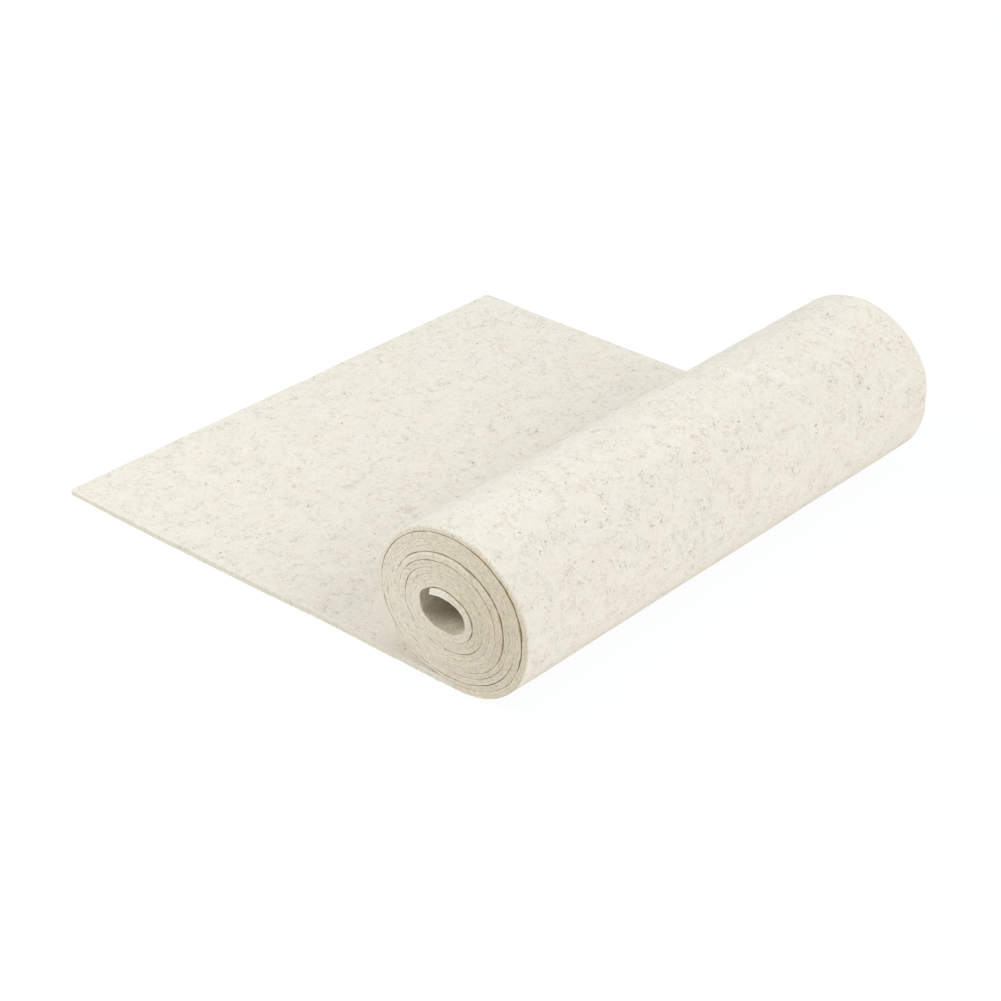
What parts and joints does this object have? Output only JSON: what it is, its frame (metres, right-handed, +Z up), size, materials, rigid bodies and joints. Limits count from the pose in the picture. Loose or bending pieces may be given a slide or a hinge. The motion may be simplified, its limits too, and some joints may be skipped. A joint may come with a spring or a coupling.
{
  "type": "roll of felt",
  "caption": "Cut length of undyed wool felt wound up on itself into a loose roll with an open middle, its outer end run out flat.",
  "frame": {"origin": "on the surface it lies on, under the middle of the box round the roll and its flat run", "axes": "+Z up, +Y along the roll's axis away from the end where the core stands out, -X towards the free end of the flat run"},
  "size_m": [0.2002, 0.2044, 0.0534],
  "materials": {
    "wool_felt": "matte, finely fuzzy, cream with grey and brown flecks"
  },
  "bodies": {
    "root": {"felt_sheet": "wool_felt"}
  },
  "joints": []
}
